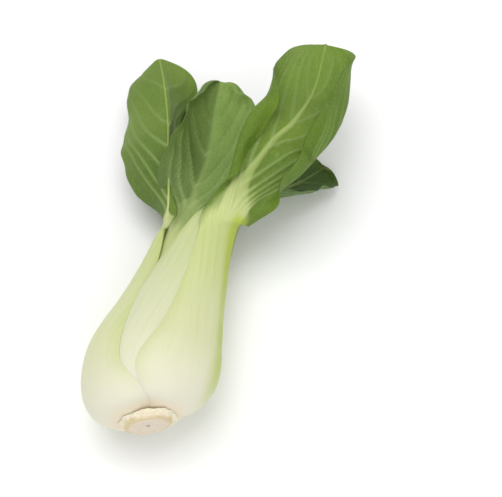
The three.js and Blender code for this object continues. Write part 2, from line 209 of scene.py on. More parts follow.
# %% Sizes that all leaves share
EDGE = 0.8  # thickness of a stalk's margins, in millimetres
BLADE = 0.5  # thickness of a blade
NECK_PACKING = 0.55  # how much closer the layers lie at the neck than at the belly
SINK_POWER = 2.2
FOOT_SINK, FOOT_REACH = 0.3, 0.13  # share of the sink at the foot, and where it is whole
FREE_FROM, FREE_SECOND = 0.72, 0.86  # places on the stalk where the free spine begins
FOLD_REACH = 2.5  # millimetres from the midrib over which the fold is eased in
LOBES_FROM = 0.45  # place on the blade where its halves begin to reach ahead
RIB_HEIGHT_SHARE = 0.65  # how much of the midrib stands out on the outer face
VEIN_HEIGHT = 0.5
VEIN_POWER = 1.25
CLIMB_LOSS = 0.34  # how much less steeply a vein climbs if it starts at the tip
QUILT_HEIGHT = 0.55
UNEVEN = 0.22
CROWDING = 1.445  # in radians: how far along the sine the outermost column lies
# The last pair in the shared sizes scales the brightness of a blade's left and right halves as painted shade,
# for a half that is turned away from the light.
COMMON = dict(
    lobes=(0, 0), tip=9, rib=2.6, rib_reach=0.12, climb=0.6, fan=0.16, greens=(0.04, 0.16),
    spread=(0.16, 0.16), early=0, pale=0.6, half_shades=(1, 1),
)
PLAIN_SIDE = dict(shape=[0, 0.58, 0.9, 1, 0.98, 0.93, 0.88], fold=0, roll=0, roll_at=(0.6, 1))


def packing(q):
    """Layers lie closer together at the neck."""
    return 1 - (1 - NECK_PACKING) * smooth(q, 0.3, 1)


def grid(leaf):
    """Places on a leaf: q from 0 to 1 up the stalk, then a from 0 to 1 up the blade, by v from
    minus one to one across it. Rows crowd towards the tip as one minus the power 1.5 of what is
    left, and columns crowd towards the margins as a sine."""
    stalk_rows, blade_rows, columns = leaf["rows"]
    up = np.linspace(0, 1, blade_rows + 1)[1:]
    q = np.concatenate([np.linspace(0, 1, stalk_rows + 1), np.ones(blade_rows)])
    a = np.concatenate([np.zeros(stalk_rows + 1), np.minimum(1 - (1 - up) ** 1.5, 0.99999)])
    v = np.sin(np.linspace(-1, 1, 2 * columns + 1) * CROWDING) / np.sin(CROWDING)
    q, _ = np.meshgrid(q, v, indexing="ij")
    a, v = np.meshgrid(a, v, indexing="ij")
    return q, a, v


# %% The wrapped part of a leaf


def centre_and_half(leaf, q):
    """The middle angle of a stalk and half its width as an angle, from its two margins."""
    left, right = (np.radians(table(margin, q)) for margin in leaf["margins"])
    return (left + right) / 2, (right - left) / 2


def stalk_half(leaf, q):
    """Half width of a stalk along its arc: half its angle times the radius of the skin."""
    return centre_and_half(leaf, q)[1] * skin(q)[0][..., 1]


def wrapped(leaf, q, v, thickness):
    """Outer and inner faces of the stalk in the bulb. The angle is the stalk's own plus v times
    its half width, and the depth grows with a power of v, so that the margins sink under the
    neighbours. They sink less at the foot, where the stalks join the stem."""
    centre, half = centre_and_half(leaf, q)
    angle = centre + v * half
    sink = np.where(v < 0, *(table(one, q) for one in leaf["sink"])) * np.abs(v) ** SINK_POWER
    sink = sink * (FOOT_SINK + (1 - FOOT_SINK) * smooth(q, 0, FOOT_REACH))
    depth = (table(leaf["depth"], q) + sink) * packing(q)
    return in_bulb(q, angle, depth), in_bulb(q, angle, depth + thickness)


# %% The free part of a leaf


def free_spine(leaf, q, a):
    """Points on the midrib with three directions: the way the outer face looks, sideways to the
    leaf's right, and along. The spine starts inside the stalk, so that it leaves the bulb along
    the bulb's own slope."""
    starts = np.array([FREE_FROM, FREE_SECOND])
    angle = centre_and_half(leaf, starts)[0]
    _, normal = skin(starts)
    ways = np.stack([normal[:, 1] * np.sin(angle), normal[:, 0], normal[:, 1] * np.cos(angle)], -1)
    depth = table(leaf["depth"], starts) * packing(starts)
    spine = np.vstack([in_bulb(starts, angle, depth), leaf["spine"]])
    facing = np.vstack([ways, unit(np.array(leaf["facing"], float))])
    stalk = (q - FREE_FROM) / (FREE_SECOND - FREE_FROM)
    s = np.where(a > 0, 2 + a * (len(leaf["spine"]) - 1), np.clip(stalk, 0, 2))
    along = unit(through(spine, s + 1e-3) - through(spine, s - 1e-3))
    out = through(facing, s)
    out = unit(out - (out * along).sum(-1, keepdims=True) * along)
    return through(spine, s), out, np.cross(along, out)


def blade_half(leaf, a, v, neck):
    """Half width of the blade: from the neck's to the blade's own by a shape that runs through a
    few shares, times a round tip, the root of one minus a high power of a."""
    wide = np.where(v < 0, leaf["width"][0], leaf["width"][1])
    left, right = (table(leaf[side]["shape"], a) for side in ("left", "right"))
    shape = np.where(v < 0, left, right)
    return (neck + (wide - neck) * shape) * np.sqrt(1 - a ** leaf["tip"])


def section(leaf, a, v, half, neck_angle):
    """Sideways and inward places across the blade, and the turn of its face there. The turn is
    the fold, eased in near the midrib, plus cup times v, plus the roll, eased in near the margin.
    The places are the running sums of its cosine and sine times the step along the arc."""
    opened = smooth(a, 0, 0.3)
    v_abs = np.abs(v)
    turned = np.zeros_like(v)
    for name, mask in (("left", v < 0), ("right", v >= 0)):
        side = leaf[name]
        fold = np.radians(table(side["fold"], a)) * smooth(v_abs * half, 0, FOLD_REACH)
        cup = neck_angle * (1 - opened) + np.radians(table(side["cup"], a)) * opened
        roll = np.radians(table(side["roll"], a)) * smooth(v_abs, *side["roll_at"])
        turned = np.where(mask, fold * opened + cup * v_abs + roll * opened, turned)
    middle = v.shape[1] // 2
    step = np.abs(np.diff(v, axis=1)) * (half[:, 1:] + half[:, :-1]) / 2
    between = (turned[:, 1:] + turned[:, :-1]) / 2
    sideways, inward = np.zeros_like(v), np.zeros_like(v)
    sideways[:, middle + 1:] = np.cumsum((step * np.cos(between))[:, middle:], 1)
    inward[:, middle + 1:] = np.cumsum((step * np.sin(between))[:, middle:], 1)
    sideways[:, :middle] = -np.cumsum((step * np.cos(between))[:, :middle][:, ::-1], 1)[:, ::-1]
    inward[:, :middle] = np.cumsum((step * np.sin(between))[:, :middle][:, ::-1], 1)[:, ::-1]
    return sideways, inward, turned


print("free part starts at", FREE_FROM, "of the stalk")

# %% [markdown]
# ## Midrib, veins and the swelling between them
#
# The midrib is the stalk running out: broad and thick at the neck, a thread at the tip. Side veins
# leave it at a narrow angle and bend up towards the margin, and the lowest ones already start in
# the stalk, so they fan out from the neck. The blade swells a little between them. All of this is
# relief, and the same numbers are kept on the mesh, because veins are paler than the blade.

# %% Midrib and side veins


def midrib(leaf, a, v, half, neck):
    """How high the midrib's hump stands, from 0 to 1: one minus the square of the distance over
    the rib's half width. That width closes from the whole stalk to a few millimetres soon after
    the neck, and then to under one at the tip."""
    bare = leaf["rib"]
    closing = (1 - smooth(a, -0.02, leaf["rib_reach"])) ** 1.3
    rib_half = (neck - bare) * closing + bare * (1 - a) ** 1.3 + 0.4
    across = np.where(a > 0, np.abs(v) * half / rib_half, np.abs(v))
    return np.maximum(1 - across**2, 0) ** (1 + 0.4 * smooth(a, 0, 0.25))


def side_veins(leaf, a, v, half, length):
    """Strength of the side veins from 0 to 1, the swelling between them, and how far a point is
    from any vein, from 0 to 1. Here a goes on below nought into the stalk. Vein number i leaves
    the midrib at a = start and runs along a = start + climb times v to the power 1.25, where climb
    shrinks towards the tip. Its strength falls as a bell curve of the distance in millimetres. The
    swelling is the distance to the nearest vein, eased."""
    v_abs = np.abs(v)
    strength = np.zeros_like(v)
    nearest = np.full_like(v, 99.0)
    for name, mask in (("left", v < 0), ("right", v >= 0)):
        for number, start in enumerate(leaf[name]["veins"]):
            climb = leaf["climb"] - CLIMB_LOSS * start
            wobble = 0.010 * np.sin(9 * v_abs + 2.3 * number + (1 if name == "left" else 0))
            slope = climb * VEIN_POWER * v_abs ** (VEIN_POWER - 1) * length / np.maximum(half, 4)
            apart = (a - start - climb * v_abs**VEIN_POWER - wobble) * length / np.sqrt(1 + slope**2)
            width = 0.2 + 0.55 * (1 - 0.65 * v_abs) + 0.5 * (1 - smooth(a, 0, 0.2))
            fading = (1 - 0.5 * v_abs) * (1 - 0.6 * smooth(a, 0.35, 0.8))
            line = np.exp(-((apart / width) ** 2)) * fading
            strength = np.where(mask, np.maximum(strength, line), strength)
            nearest = np.where(mask, np.minimum(nearest, np.abs(apart)), nearest)
    strength *= (1 - smooth(v_abs, 0.8, 0.99)) * smooth(a, -0.1, 0.05) * (1 - smooth(a, 0.9, 1))
    swell = smooth(nearest, 0, 4.5) * smooth(v_abs * half, 1.5, 6) * (1 - smooth(v_abs, 0.8, 1))
    return strength, swell * smooth(a, 0.05, 0.25), smooth(nearest, 0.2, 2.4)


def ripples(leaf, a, v):
    """A wavy margin: sines along the blade that grow with the square of v, and a slower unevenness
    of the whole blade from three crossing sines."""
    height, count, start = leaf["wave"]
    side = np.where(v < 0, -1.0, 1.0)
    v_abs = np.abs(v)
    fade = smooth(a, 0.05, 0.4)
    margin = v_abs**2 * np.sin(2 * np.pi * (count * a + 0.17 * side) + start + 2.1 * side)
    frill = v_abs**3 * np.sin(4.6 * np.pi * count * a + 1.7 * start + 1.3 * side)
    slow = (
        np.sin(7 * a + 3.1 * v + start) + np.sin(11 * a - 5.3 * v + 2 * start)
        + np.sin(17 * a + 8.1 * v + 3 * start)
    )
    return fade * (height * margin + 0.35 * height * frill + UNEVEN * slow)


print("a vein from 0.2 meets the margin at", round(0.2 + COMMON["climb"] - CLIMB_LOSS * 0.2, 2))

# %% [markdown]
# ## One leaf, put together
#
# The outer and inner faces are two grids a thickness apart. The relief moves the outer face out,
# and the inner face follows it only in part, so the midrib is thick where it should be.

# %% How green a leaf is at each point


def green_share(leaf, q, a, v, beyond, hump, between):
    """How much blade colour a point has. It rises over the two places in greens, sooner towards
    the margins by spread and sooner between the veins by fan. The midrib's hump stays pale."""
    bare_rib = smooth(hump, 0.1, 0.6) * (1 - 0.35 * smooth(a, 0.5, 1))
    bare_rib *= 1 - 0.55 * between * smooth(np.abs(v), 0.1, 0.4) * smooth(beyond, -0.1, 0.06)
    bare_rib *= 1 - leaf["early"] * smooth(q, 0.8, 0.93)
    spread = np.where(v < 0, *leaf["spread"]) * v**2
    fan = leaf["fan"] * (between - 0.6)
    return smooth(beyond + spread + fan, *leaf["greens"]) * (1 - bare_rib)


def margin_share(leaf, q, a, v):
    """How much yellow green a stalk has towards its margins. Where a leaf states strip, its right
    half has it from one place across to another instead."""
    share = smooth(np.abs(v), 0.7, 1) * leaf["pale"]
    if "strip" in leaf:
        share = np.where(v > 0, smooth(v, *leaf["strip"]), share)
    return share * smooth(q, 0.12, 0.42) * (1 - smooth(a, 0, 0.06))


# %% A leaf's two faces


def leaf_faces(leaf):
    """Outer and inner grids of points in millimetres, and what is known at each point. Stalk:
    thickness is the margin's plus the rest times one minus v squared. Blade: the thin blade plus
    the midrib's hump. The wrapped and the free places are mixed by an eased share of q."""
    q, a, v = grid(leaf)
    neck_angle = centre_and_half(leaf, np.ones(1))[1][0]
    neck = neck_angle * NECK_RADIUS
    half = np.where(a > 0, blade_half(leaf, a, v, neck), stalk_half(leaf, q))
    rib_end = leaf["thick"][-1]
    rib = np.where(a > 0, (rib_end - BLADE) * (1 - a) ** 1.6 + BLADE + 0.3 * (1 - a**4) * a**0.3,
                   table(leaf["thick"], q))
    edge = EDGE + (BLADE - EDGE) * smooth(q, 0.6, 1)
    hump = midrib(leaf, a, v, half, neck)
    thickness = edge + (rib - edge) * hump
    length = np.linalg.norm(np.diff(np.array(leaf["spine"], float), axis=0), axis=1).sum()
    beyond = a + (q - 1) * STALK_LENGTH / length
    vein, swell, between = side_veins(leaf, beyond, v, half, length)

    outer, inner = wrapped(leaf, q, v, thickness)
    spine, out, across = free_spine(leaf, q, a)
    sideways, inward, turned = section(leaf, a, v, half, centre_and_half(leaf, q)[1])
    middle = spine + sideways[..., None] * across - inward[..., None] * out
    ahead = np.where(v < 0, *leaf["lobes"]) * v**2 * smooth(a, LOBES_FROM, 1)
    middle = middle + ahead[..., None] * np.cross(out, across)
    side = np.where(v < 0, -1.0, 1.0)
    normal = (np.sin(turned) * side)[..., None] * across + np.cos(turned)[..., None] * out
    proud = RIB_HEIGHT_SHARE * smooth(a, 0, 0.35) * (rib - edge) * hump
    shared = ripples(leaf, a, v) - QUILT_HEIGHT * swell
    raised = VEIN_HEIGHT * vein * smooth(a, 0, 0.1)
    free_outer = middle + normal * (proud + shared + raised)[..., None]
    free_inner = middle + normal * (proud + shared - 0.35 * raised - thickness)[..., None]
    free = np.where(a > 0, 1.0, smooth(q, FREE_FROM, 1))[..., None]
    known = {
        "stalk_place": q, "blade_place": a, "across": v, "vein": vein,
        "green": green_share(leaf, q, a, v, beyond, hump, between),
        "strip": margin_share(leaf, q, a, v),
        "arc": v * half, "along": q * STALK_LENGTH + a * length,
        # Painted shade: each half of the blade gets a brightness factor, so a half turned away from the light
        # is darkened in its colour.
        "painted_half_shade": np.interp(v * half, (-0.6, 0.4), leaf["half_shades"]),
    }
    return outer + (free_outer - outer) * free, inner + (free_inner - inner) * free, known


# %% A closed mesh from the two faces


def new_mesh(name, points, faces, values, uv, material):
    """A smooth mesh object at the origin from frame points, arrays of quads or triangles, one
    number per point for each named value, and a place on the piece's own map in metres."""
    mesh = bpy.data.meshes.new(name)
    mesh.vertices.add(len(points))
    mesh.vertices.foreach_set("co", points.astype(np.float32).ravel())
    corners = np.concatenate([part.ravel() for part in faces]).astype(np.int32)
    sizes = np.concatenate([np.full(len(part), part.shape[1]) for part in faces])
    mesh.loops.add(len(corners))
    mesh.loops.foreach_set("vertex_index", corners)
    mesh.polygons.add(len(sizes))
    mesh.polygons.foreach_set("loop_start", (np.cumsum(sizes) - sizes).astype(np.int32))
    mesh.polygons.foreach_set("use_smooth", np.ones(len(sizes), bool))
    mesh.update(calc_edges=True)
    for key, value in values.items():
        kept = mesh.attributes.new(key, "FLOAT", "POINT")
        kept.data.foreach_set("value", value.astype(np.float32).ravel())
    layer = mesh.uv_layers.new(name="own_map")
    layer.data.foreach_set("uv", uv.reshape(-1, 2)[corners].astype(np.float32).ravel())
    mesh.validate()
    mesh.materials.append(material)
    piece = bpy.data.objects.new(name, mesh)
    bpy.context.scene.collection.objects.link(piece)
    return piece


def leaf_mesh(name, leaf, material):
    """The outer grid, then the inner one backwards, make a ring of points for each row. Rows are
    joined by quads, and the foot and the tip are closed by quads from the outer to the inner face."""
    outer, inner, known = leaf_faces(leaf)
    rows, columns = outer.shape[:2]
    ring = 2 * columns
    points = np.concatenate([outer, inner[:, ::-1]], 1).reshape(-1, 3)
    row, i = np.meshgrid(np.arange(rows - 1), np.arange(ring), indexing="ij")
    quads = np.stack([row * ring + i, row * ring + (i + 1) % ring,
                      (row + 1) * ring + (i + 1) % ring, (row + 1) * ring + i], -1).reshape(-1, 4)
    j = np.arange(columns - 1)
    foot = np.stack([ring - 1 - j, ring - 2 - j, j + 1, j], -1)
    tip = (rows - 1) * ring + foot[:, ::-1]
    values = {key: np.concatenate([value, value[:, ::-1]], 1) for key, value in known.items()}
    values["outside"] = np.concatenate([np.ones((rows, columns)), np.zeros((rows, columns))], 1)
    arc, along = values.pop("arc") * MM, values.pop("along") * MM
    uv = np.stack([arc + 0.1 * values["outside"], along], -1)
    return new_mesh(name, to_frame(points), [quads, foot, tip], values, uv, material)

# %% [markdown]
# ## Finishes
#
# Leaf tissue is one living stuff in many colours. It is nearly white where the stalk grew in the
# dark of the bulb, yellow green where light reached it, and full green in the blade, with pale
# veins. So there is one recipe for all leaves, a node group that mixes these colours by the numbers
# kept on the mesh, and each kind of leaf gives it its own colours. The fine net between the veins
# and the fibres of the stalk are too small for the mesh, so the same group makes them as bump.

# %% Small helpers for node trees


def node(tree, kind, inputs=(), **settings):
    """Adds a node, sets its settings, and fills its inputs by name or number with a value or with
    another node's output."""
    made = tree.nodes.new("ShaderNode" + kind)
    for key, value in settings.items():
        setattr(made, key, value)
    for key, value in dict(inputs).items():
        if isinstance(value, bpy.types.NodeSocket):
            tree.links.new(value, made.inputs[key])
        else:
            made.inputs[key].default_value = value
    return made


def math(tree, operation, *values):
    """The result of a Math node."""
    return node(tree, "Math", dict(enumerate(values)), operation=operation).outputs[0]


def mix(tree, share, first, second):
    """A colour between two colours."""
    made = node(tree, "Mix", {0: share}, data_type="RGBA")
    for slot, colour in ((6, first), (7, second)):
        if isinstance(colour, bpy.types.NodeSocket):
            tree.links.new(colour, made.inputs[slot])
        else:
            made.inputs[slot].default_value = (*colour, 1)
    return made.outputs[2]


def step_up(tree, value, start, end):
    """Nought below start, one above end, eased between them."""
    made = node(tree, "MapRange", {0: value, 1: start, 2: end}, interpolation_type="SMOOTHSTEP")
    return made.outputs[0]


def step_down(tree, value, start, end):
    """One below start, nought above end, eased between them."""
    return math(tree, "SUBTRACT", 1.0, step_up(tree, value, start, end))


def known_at(tree, name):
    """A number that is kept on the mesh."""
    return node(tree, "Attribute", attribute_name=name).outputs["Fac"]


def new_group(name, inputs, outputs):
    """An empty shader node group with named sockets, and its input and output nodes."""
    group = bpy.data.node_groups.new(name, "ShaderNodeTree")
    for socket, kind, value in inputs:
        made = group.interface.new_socket(socket, in_out="INPUT", socket_type="NodeSocket" + kind)
        made.default_value = value
    for socket, kind in outputs:
        group.interface.new_socket(socket, in_out="OUTPUT", socket_type="NodeSocket" + kind)
    return group, group.nodes.new("NodeGroupInput").outputs, group.nodes.new("NodeGroupOutput")


print("helpers ready")

# %% Node group: fine net of the blade
NET_CELLS = 420.0  # in a metre
net_group, net_in, net_out = new_group(
    "fine_net",
    [("Map", "Vector", (0, 0, 0)), ("Cells per metre", "Float", NET_CELLS)],
    [("Line", "Float")],
)
warp = node(net_group, "TexNoise", {"Vector": net_in["Map"], "Scale": 260.0, "Detail": 1.0})
shift = node(net_group, "VectorMath", {0: warp.outputs["Color"], 1: (0.0016, 0.0016, 0)},
             operation="MULTIPLY").outputs[0]
bent = node(net_group, "VectorMath", {0: net_in["Map"], 1: shift}, operation="ADD").outputs[0]
coarse = node(net_group, "TexVoronoi", {"Vector": bent, "Scale": net_in["Cells per metre"]},
              feature="DISTANCE_TO_EDGE")
finer = math(net_group, "MULTIPLY", net_in["Cells per metre"], 2.7)
fine = node(net_group, "TexVoronoi", {"Vector": bent, "Scale": finer}, feature="DISTANCE_TO_EDGE")
coarse_line = step_down(net_group, coarse.outputs["Distance"], 0.0, 0.09)
fine_line = step_down(net_group, fine.outputs["Distance"], 0.0, 0.14)
line = math(net_group, "MAXIMUM", coarse_line, math(net_group, "MULTIPLY", fine_line, 0.45))
net_group.links.new(line, net_out.inputs["Line"])
print("fine net: cells of about", round(1000 / NET_CELLS, 1), "mm")

# %% Node group: fibres of the stalk and rare brown flecks
FLECK_CELLS = 62.0  # in a metre, of which about one in seven has a fleck
FLECK_EDGE = (0.012, 0.03)  # in cells
fibre_group, fibre_in, fibre_out = new_group(
    "fibres_and_flecks",
    [("Map", "Vector", (0, 0, 0)), ("Place", "Vector", (0, 0, 0))],
    [("Fibre", "Float"), ("Fleck", "Float")],
)
drawn = node(fibre_group, "VectorMath", {0: fibre_in["Map"], 1: (900.0, 28.0, 0)}, operation="MULTIPLY")
fibre = node(fibre_group, "TexNoise",
             {"Vector": drawn.outputs[0], "Scale": 1.0, "Detail": 3.0, "Roughness": 0.6})
fibre_group.links.new(fibre.outputs["Fac"], fibre_out.inputs["Fibre"])
spots = node(fibre_group, "TexVoronoi", {"Vector": fibre_in["Place"], "Scale": FLECK_CELLS})
near = step_down(fibre_group, spots.outputs["Distance"], *FLECK_EDGE)
lot = node(fibre_group, "SeparateColor", {0: spots.outputs["Color"]}).outputs[0]
chosen = step_up(fibre_group, lot, 0.86, 0.87)
fibre_group.links.new(math(fibre_group, "MULTIPLY", near, chosen), fibre_out.inputs["Fleck"])
print("flecks about", round(2 * FLECK_EDGE[1] * 1000 / FLECK_CELLS, 1), "mm across")

# %% Node group: leaf tissue
tissue, given, told = new_group(
    "leaf_tissue",
    [
        ("Scar", "Color", (0.74, 0.66, 0.5, 1)), ("Foot", "Color", (0.697, 0.68, 0.546, 1)),
        ("Stalk", "Color", (0.605, 0.63, 0.361, 1)),
        ("Neck", "Color", (0.5, 0.56, 0.235, 1)), ("Stalk margin", "Color", (0.4, 0.49, 0.05, 1)),
        ("Blade outside", "Color", (0.112, 0.189, 0.022, 1)),
        ("Blade inside", "Color", (0.088, 0.165, 0.008, 1)),
        ("Midrib", "Color", (0.31, 0.395, 0.115, 1)), ("Vein", "Color", (0.25, 0.35, 0.11, 1)),
    ],
    [("Color", "Color"), ("Roughness", "Float"), ("Height", "Float")],
)
own_map = node(tissue, "UVMap", uv_map="own_map").outputs[0]
body_place = node(tissue, "TexCoord").outputs["Object"]
q = known_at(tissue, "stalk_place")
a = known_at(tissue, "blade_place")
green = known_at(tissue, "green")
fibres = node(tissue, "Group", {"Map": own_map, "Place": body_place}, node_tree=fibre_group)
net = node(tissue, "Group", {"Map": own_map}, node_tree=net_group)
cloudy = node(tissue, "TexNoise", {"Vector": body_place, "Scale": 38.0, "Detail": 3.0}).outputs["Fac"]
broad = node(tissue, "TexNoise", {"Vector": body_place, "Scale": 14.0, "Detail": 2.0}).outputs["Fac"]

foot_edge = math(tissue, "MULTIPLY_ADD", cloudy, 0.14, q)
foot = mix(tissue, step_up(tissue, foot_edge, 0.17, 0.24), given["Scar"], given["Foot"])
low = mix(tissue, step_up(tissue, q, 0.2, 0.55), foot, given["Stalk"])
stalk = mix(tissue, step_up(tissue, q, 0.5, 0.95), low, given["Neck"])
stalk = mix(tissue, known_at(tissue, "strip"), stalk, given["Stalk margin"])
patch = math(tissue, "MULTIPLY", step_up(tissue, broad, 0.5, 0.75), 0.3)
stalk = mix(tissue, patch, stalk, given["Foot"])
streak = math(tissue, "MULTIPLY", step_up(tissue, fibres.outputs["Fibre"], 0.42, 0.7), 0.34)
streak = math(tissue, "MULTIPLY", streak, step_up(tissue, q, 0.15, 0.9))
stalk = mix(tissue, streak, stalk, given["Stalk margin"])

blade = mix(tissue, known_at(tissue, "outside"), given["Blade inside"], given["Blade outside"])
light = node(tissue, "HueSaturation", {"Hue": 0.492, "Saturation": 1.02, "Value": 1.35, "Color": blade})
dark = node(tissue, "HueSaturation", {"Hue": 0.505, "Saturation": 1.0, "Value": 0.72, "Color": blade})
blade = mix(tissue, step_up(tissue, broad, 0.3, 0.7), dark.outputs[0], light.outputs[0])
blade = mix(tissue, math(tissue, "MULTIPLY", cloudy, 0.35), blade, given["Blade outside"])
blade = mix(tissue, math(tissue, "MULTIPLY", net.outputs["Line"], 0.22), blade, given["Vein"])
# Painted shade: the blade colour's brightness is scaled by the kept factor for its half, darkening a half
# turned away from the light.
shaded_blade = node(tissue, "HueSaturation", {"Value": known_at(tissue, "painted_half_shade"), "Color": blade})
blade = shaded_blade.outputs[0]
vein_share = math(tissue, "MULTIPLY", known_at(tissue, "vein"), 0.9)
blade = mix(tissue, vein_share, blade, given["Vein"])
stalk = mix(tissue, step_up(tissue, a, 0.0, 0.3), stalk, given["Midrib"])
colour = mix(tissue, green, stalk, blade)
fleck = math(tissue, "MULTIPLY", fibres.outputs["Fleck"], step_down(tissue, a, 0.0, 0.02))
colour = mix(tissue, math(tissue, "MULTIPLY", fleck, 0.75), colour, (0.2, 0.13, 0.05))
tissue.links.new(colour, told.inputs["Color"])

gloss = math(tissue, "MULTIPLY_ADD", green, 0.1, 0.36)
gloss = math(tissue, "MULTIPLY_ADD", cloudy, 0.12, gloss)
tissue.links.new(gloss, told.inputs["Roughness"])
fibre_height = math(tissue, "MULTIPLY", fibres.outputs["Fibre"], math(tissue, "SUBTRACT", 1.0, green))
net_height = math(tissue, "MULTIPLY", net.outputs["Line"], math(tissue, "MULTIPLY", green, -0.9))
pucker = math(tissue, "MULTIPLY", cloudy, math(tissue, "MULTIPLY", green, 1.6))
height = math(tissue, "ADD", fibre_height, math(tissue, "ADD", net_height, pucker))
tissue.links.new(height, told.inputs["Height"])
print("leaf tissue takes", len(tissue.interface.items_tree), "sockets")

# %% A leaf's own material
BUMP_DEPTH = 0.00016


def leaf_material(name, colours):
    """Living tissue lets a little light through, so the shader has a shallow subsurface share. The
    colours are the group's inputs by name."""
    material = bpy.data.materials.new(name)
    material.use_nodes = True
    tree = material.node_tree
    shader = tree.nodes["Principled BSDF"]
    look = node(tree, "Group", {key: (*value, 1) for key, value in colours.items()}, node_tree=tissue)
    relief = node(tree, "Bump", {"Strength": 1.0, "Distance": BUMP_DEPTH, "Height": look.outputs["Height"]})
    tree.links.new(look.outputs["Color"], shader.inputs["Base Color"])
    tree.links.new(look.outputs["Roughness"], shader.inputs["Roughness"])
    tree.links.new(relief.outputs["Normal"], shader.inputs["Normal"])
    shader.inputs["Specular IOR Level"].default_value = 0.25
    shader.inputs["Subsurface Weight"].default_value = 0.18
    shader.inputs["Subsurface Radius"].default_value = (0.8, 1.0, 0.35)
    shader.inputs["Subsurface Scale"].default_value = 0.003
    return material


materials = {
    "outer_leaf": leaf_material("outer_leaf", {}),
    "second_leaf": leaf_material("second_leaf", {
        "Stalk": (0.63, 0.647, 0.437), "Neck": (0.487, 0.546, 0.26),
        "Stalk margin": (0.42, 0.479, 0.168),
        "Blade inside": (0.0588, 0.118, 0.021), "Blade outside": (0.0924, 0.168, 0.042),
    }),
    "inner_leaf": leaf_material("inner_leaf", {
        "Neck": (0.42, 0.479, 0.202), "Blade outside": (0.168, 0.26, 0.0672),
        "Blade inside": (0.118, 0.202, 0.042),
    }),
    "heart_leaf": leaf_material("heart_leaf", {
        "Neck": (0.462, 0.521, 0.218), "Blade outside": (0.286, 0.378, 0.109),
        "Blade inside": (0.235, 0.336, 0.084),
    }),
}
print("materials:", list(materials))

# %% Node group and material of the stem
stem_group, stem_in, stem_out = new_group(
    "cut_stem",
    [
        ("Pith", "Color", (0.67, 0.575, 0.47, 1)), ("Rim", "Color", (0.62, 0.52, 0.26, 1)),
        ("Collar", "Color", (0.83, 0.74, 0.56, 1)),
    ],
    [("Color", "Color"), ("Height", "Float")],
)
stem_place = node(stem_group, "TexCoord").outputs["Object"]
from_middle = known_at(stem_group, "radius")
blotch = node(stem_group, "TexNoise", {"Vector": stem_place, "Scale": 260.0, "Detail": 4.0}).outputs["Fac"]
grain = node(stem_group, "TexNoise", {"Vector": stem_place, "Scale": 1500.0, "Detail": 3.0}).outputs["Fac"]
rings = math(stem_group, "SINE", math(stem_group, "MULTIPLY", from_middle, 5200.0))
wandering = math(stem_group, "MULTIPLY_ADD", blotch, 0.0022, from_middle)
in_rim = math(stem_group, "MULTIPLY", step_up(stem_group, wandering, 0.0082, 0.0094),
              step_down(stem_group, wandering, 0.0098, 0.0112))
pith = mix(stem_group, math(stem_group, "MULTIPLY", blotch, 0.5), stem_in["Pith"], stem_in["Collar"])
face = mix(stem_group, step_up(stem_group, wandering, 0.0092, 0.011), pith, stem_in["Collar"])
face = mix(stem_group, math(stem_group, "MULTIPLY", in_rim, 0.8), face, stem_in["Rim"])
stem_group.links.new(face, stem_out.inputs["Color"])
relief = math(stem_group, "MULTIPLY_ADD", rings, 0.08, math(stem_group, "ADD", blotch, grain))
stem_group.links.new(relief, stem_out.inputs["Height"])

stem_material = bpy.data.materials.new("stem")
stem_material.use_nodes = True
stem_tree = stem_material.node_tree
stem_shader = stem_tree.nodes["Principled BSDF"]
stem_skin = node(stem_tree, "Group", node_tree=stem_group)
stem_relief = node(stem_tree, "Bump",
                   {"Strength": 1.0, "Distance": 0.0005, "Height": stem_skin.outputs["Height"]})
stem_tree.links.new(stem_skin.outputs["Color"], stem_shader.inputs["Base Color"])
stem_tree.links.new(stem_relief.outputs["Normal"], stem_shader.inputs["Normal"])
stem_shader.inputs["Roughness"].default_value = 0.55
stem_shader.inputs["Subsurface Weight"].default_value = 0.2
stem_shader.inputs["Subsurface Scale"].default_value = 0.003
print("stem material ready")
